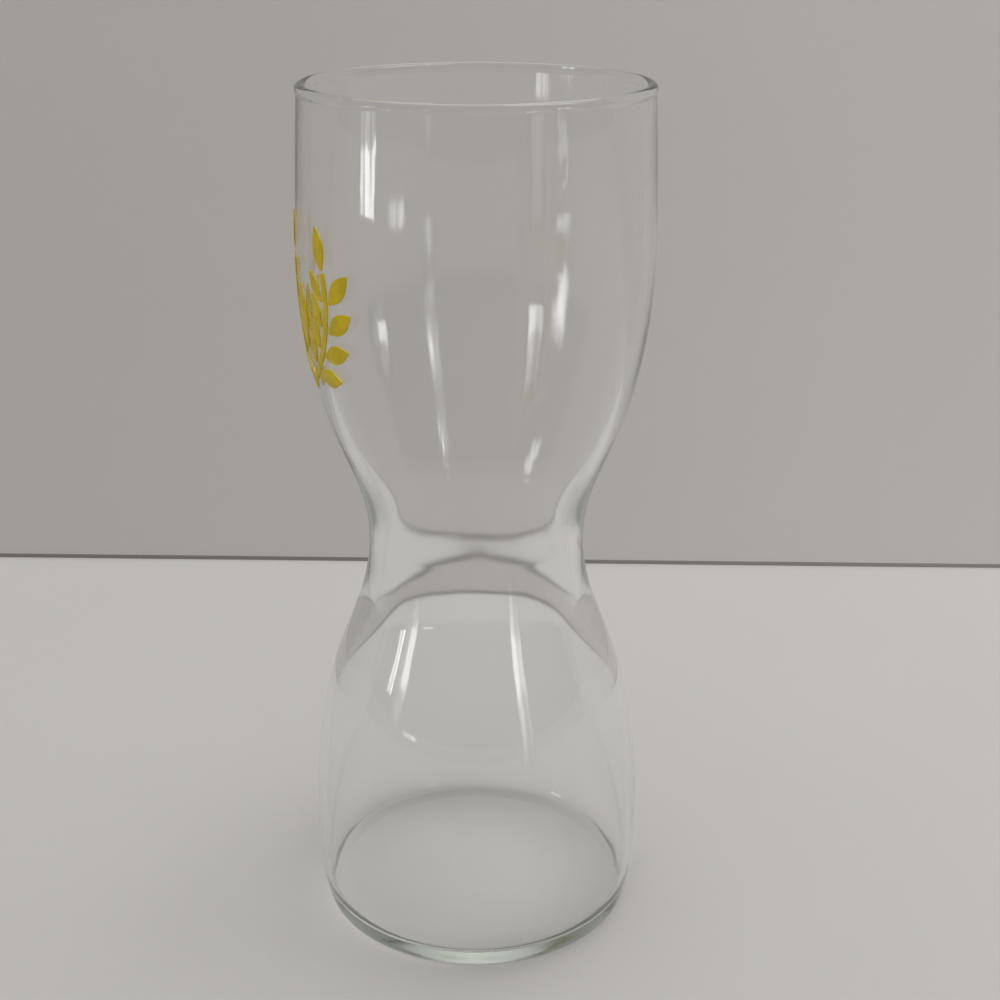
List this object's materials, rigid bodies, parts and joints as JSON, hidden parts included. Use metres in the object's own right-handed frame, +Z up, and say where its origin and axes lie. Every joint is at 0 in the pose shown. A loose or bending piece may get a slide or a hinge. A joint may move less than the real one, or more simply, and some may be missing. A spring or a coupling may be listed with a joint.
{
  "type": "hourglass drinking glass",
  "caption": "Tall clear drinking glass with a pinched waist, one through cavity, a beaded rim, a flat bottom and a yellow enamel leaf spray.",
  "frame": {"origin": "centre of the foot on the table plane", "axes": "+Z up along the glass's own axis, -Y towards the front, the enamel spray on the -X side"},
  "size_m": [0.0798, 0.0798, 0.198],
  "materials": {
    "glass": "clear, fire polished",
    "enamel": "yellow fired enamel, slightly glossy"
  },
  "bodies": {
    "root": {"upper_bowl": "glass", "lower_bowl": "glass", "bottom_dish": "glass", "sprig_knot": "enamel", "sprig_bud": "enamel", "sprig_stem_left": "enamel", "sprig_leaf_left_outer_1": "enamel", "sprig_leaf_left_inner_1": "enamel", "sprig_leaf_left_outer_2": "enamel", "sprig_leaf_left_inner_2": "enamel", "sprig_leaf_left_outer_3": "enamel", "sprig_leaf_left_inner_3": "enamel", "sprig_leaf_left_outer_4": "enamel", "sprig_leaf_left_inner_4": "enamel", "sprig_leaf_left_tip": "enamel", "sprig_stem_right": "enamel", "sprig_leaf_right_outer_1": "enamel", "sprig_leaf_right_inner_1": "enamel", "sprig_leaf_right_outer_2": "enamel", "sprig_leaf_right_inner_2": "enamel", "sprig_leaf_right_outer_3": "enamel", "sprig_leaf_right_inner_3": "enamel", "sprig_leaf_right_outer_4": "enamel", "sprig_leaf_right_inner_4": "enamel", "sprig_leaf_right_tip": "enamel"}
  },
  "joints": []
}
